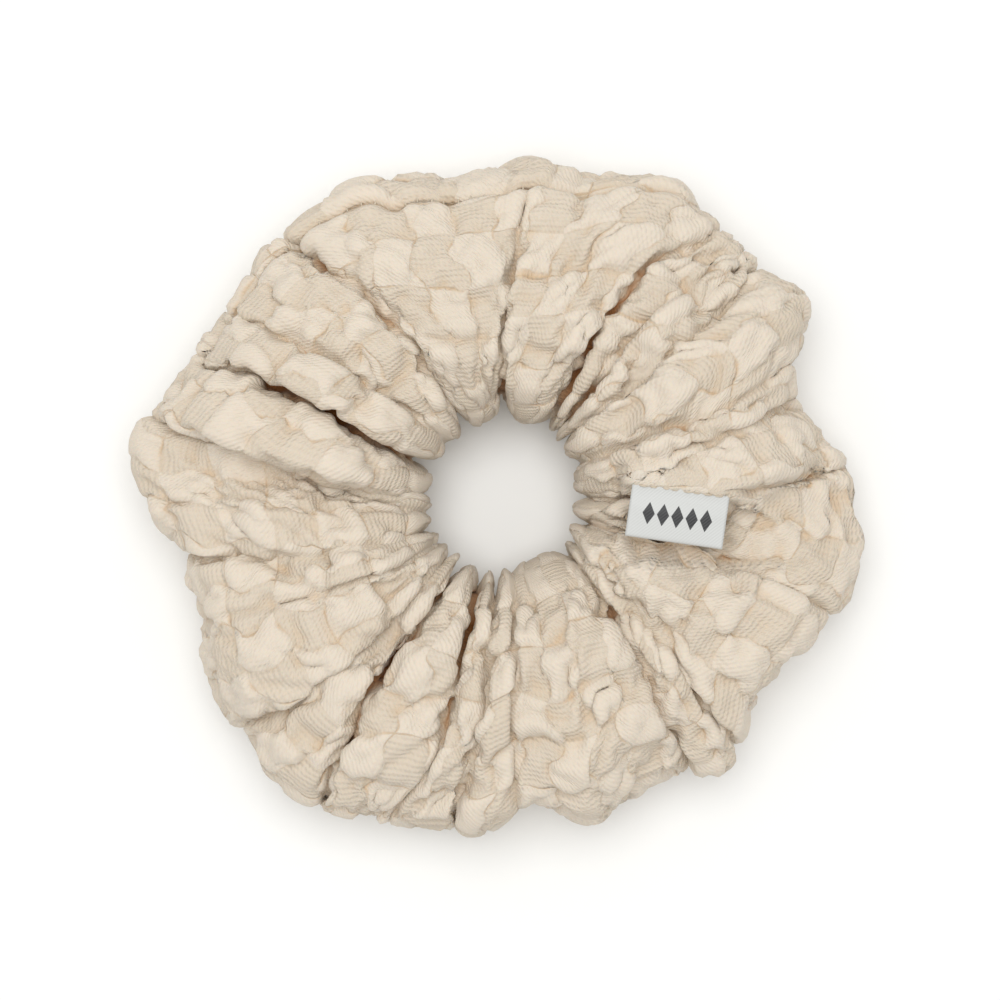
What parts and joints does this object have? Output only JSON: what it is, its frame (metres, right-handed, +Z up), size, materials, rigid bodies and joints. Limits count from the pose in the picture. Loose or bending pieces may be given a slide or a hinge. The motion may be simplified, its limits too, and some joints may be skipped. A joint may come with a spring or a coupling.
{
  "type": "hair scrunchie",
  "caption": "Extra-large gathered fabric hair scrunchie: a wide puffed cloth tube bunched on a hidden elastic loop, with a small folded woven label in its seam.",
  "frame": {"origin": "middle of the outline, on the surface that the scrunchie lies on", "axes": "+Z up through the hair opening, +X from the middle towards the side that carries the label, +Y across it"},
  "size_m": [0.1468, 0.1398, 0.0363],
  "materials": {
    "crepe_cloth": "soft warm cream cloth puckered in a check pattern",
    "sewing_thread": "matt polyester sewing thread matched to the cloth",
    "elastic_braid": "matt braided elastic",
    "label_satin": "white woven satin ribbon with a soft sheen"
  },
  "bodies": {
    "left_side": {"cover_left": "crepe_cloth", "long_seam_thread_left": "sewing_thread", "closing_seam_thread": "sewing_thread", "elastic_left_upper": "elastic_braid", "elastic_left_lower": "elastic_braid", "elastic_join_thread": "sewing_thread"},
    "right_side": {"cover_right": "crepe_cloth", "long_seam_thread_right": "sewing_thread", "elastic_right": "elastic_braid", "label_sewn_ends": "label_satin", "label_thread": "sewing_thread"},
    "label": {"label_tab": "label_satin"}
  },
  "joints": [
    {"name": "stretch", "type": "slide", "parent": "left_side", "child": "right_side", "axis": [1, 0, 0], "range_m": [0, 0.085], "stiffness_N_per_m": 60},
    {"name": "label_flip", "type": "hinge", "parent": "right_side", "child": "label", "pos_m": [0.0363, 0.00111, 0.03469], "axis": [-0.9903, 0.1392, 0], "range_deg": [0, 110]}
  ]
}
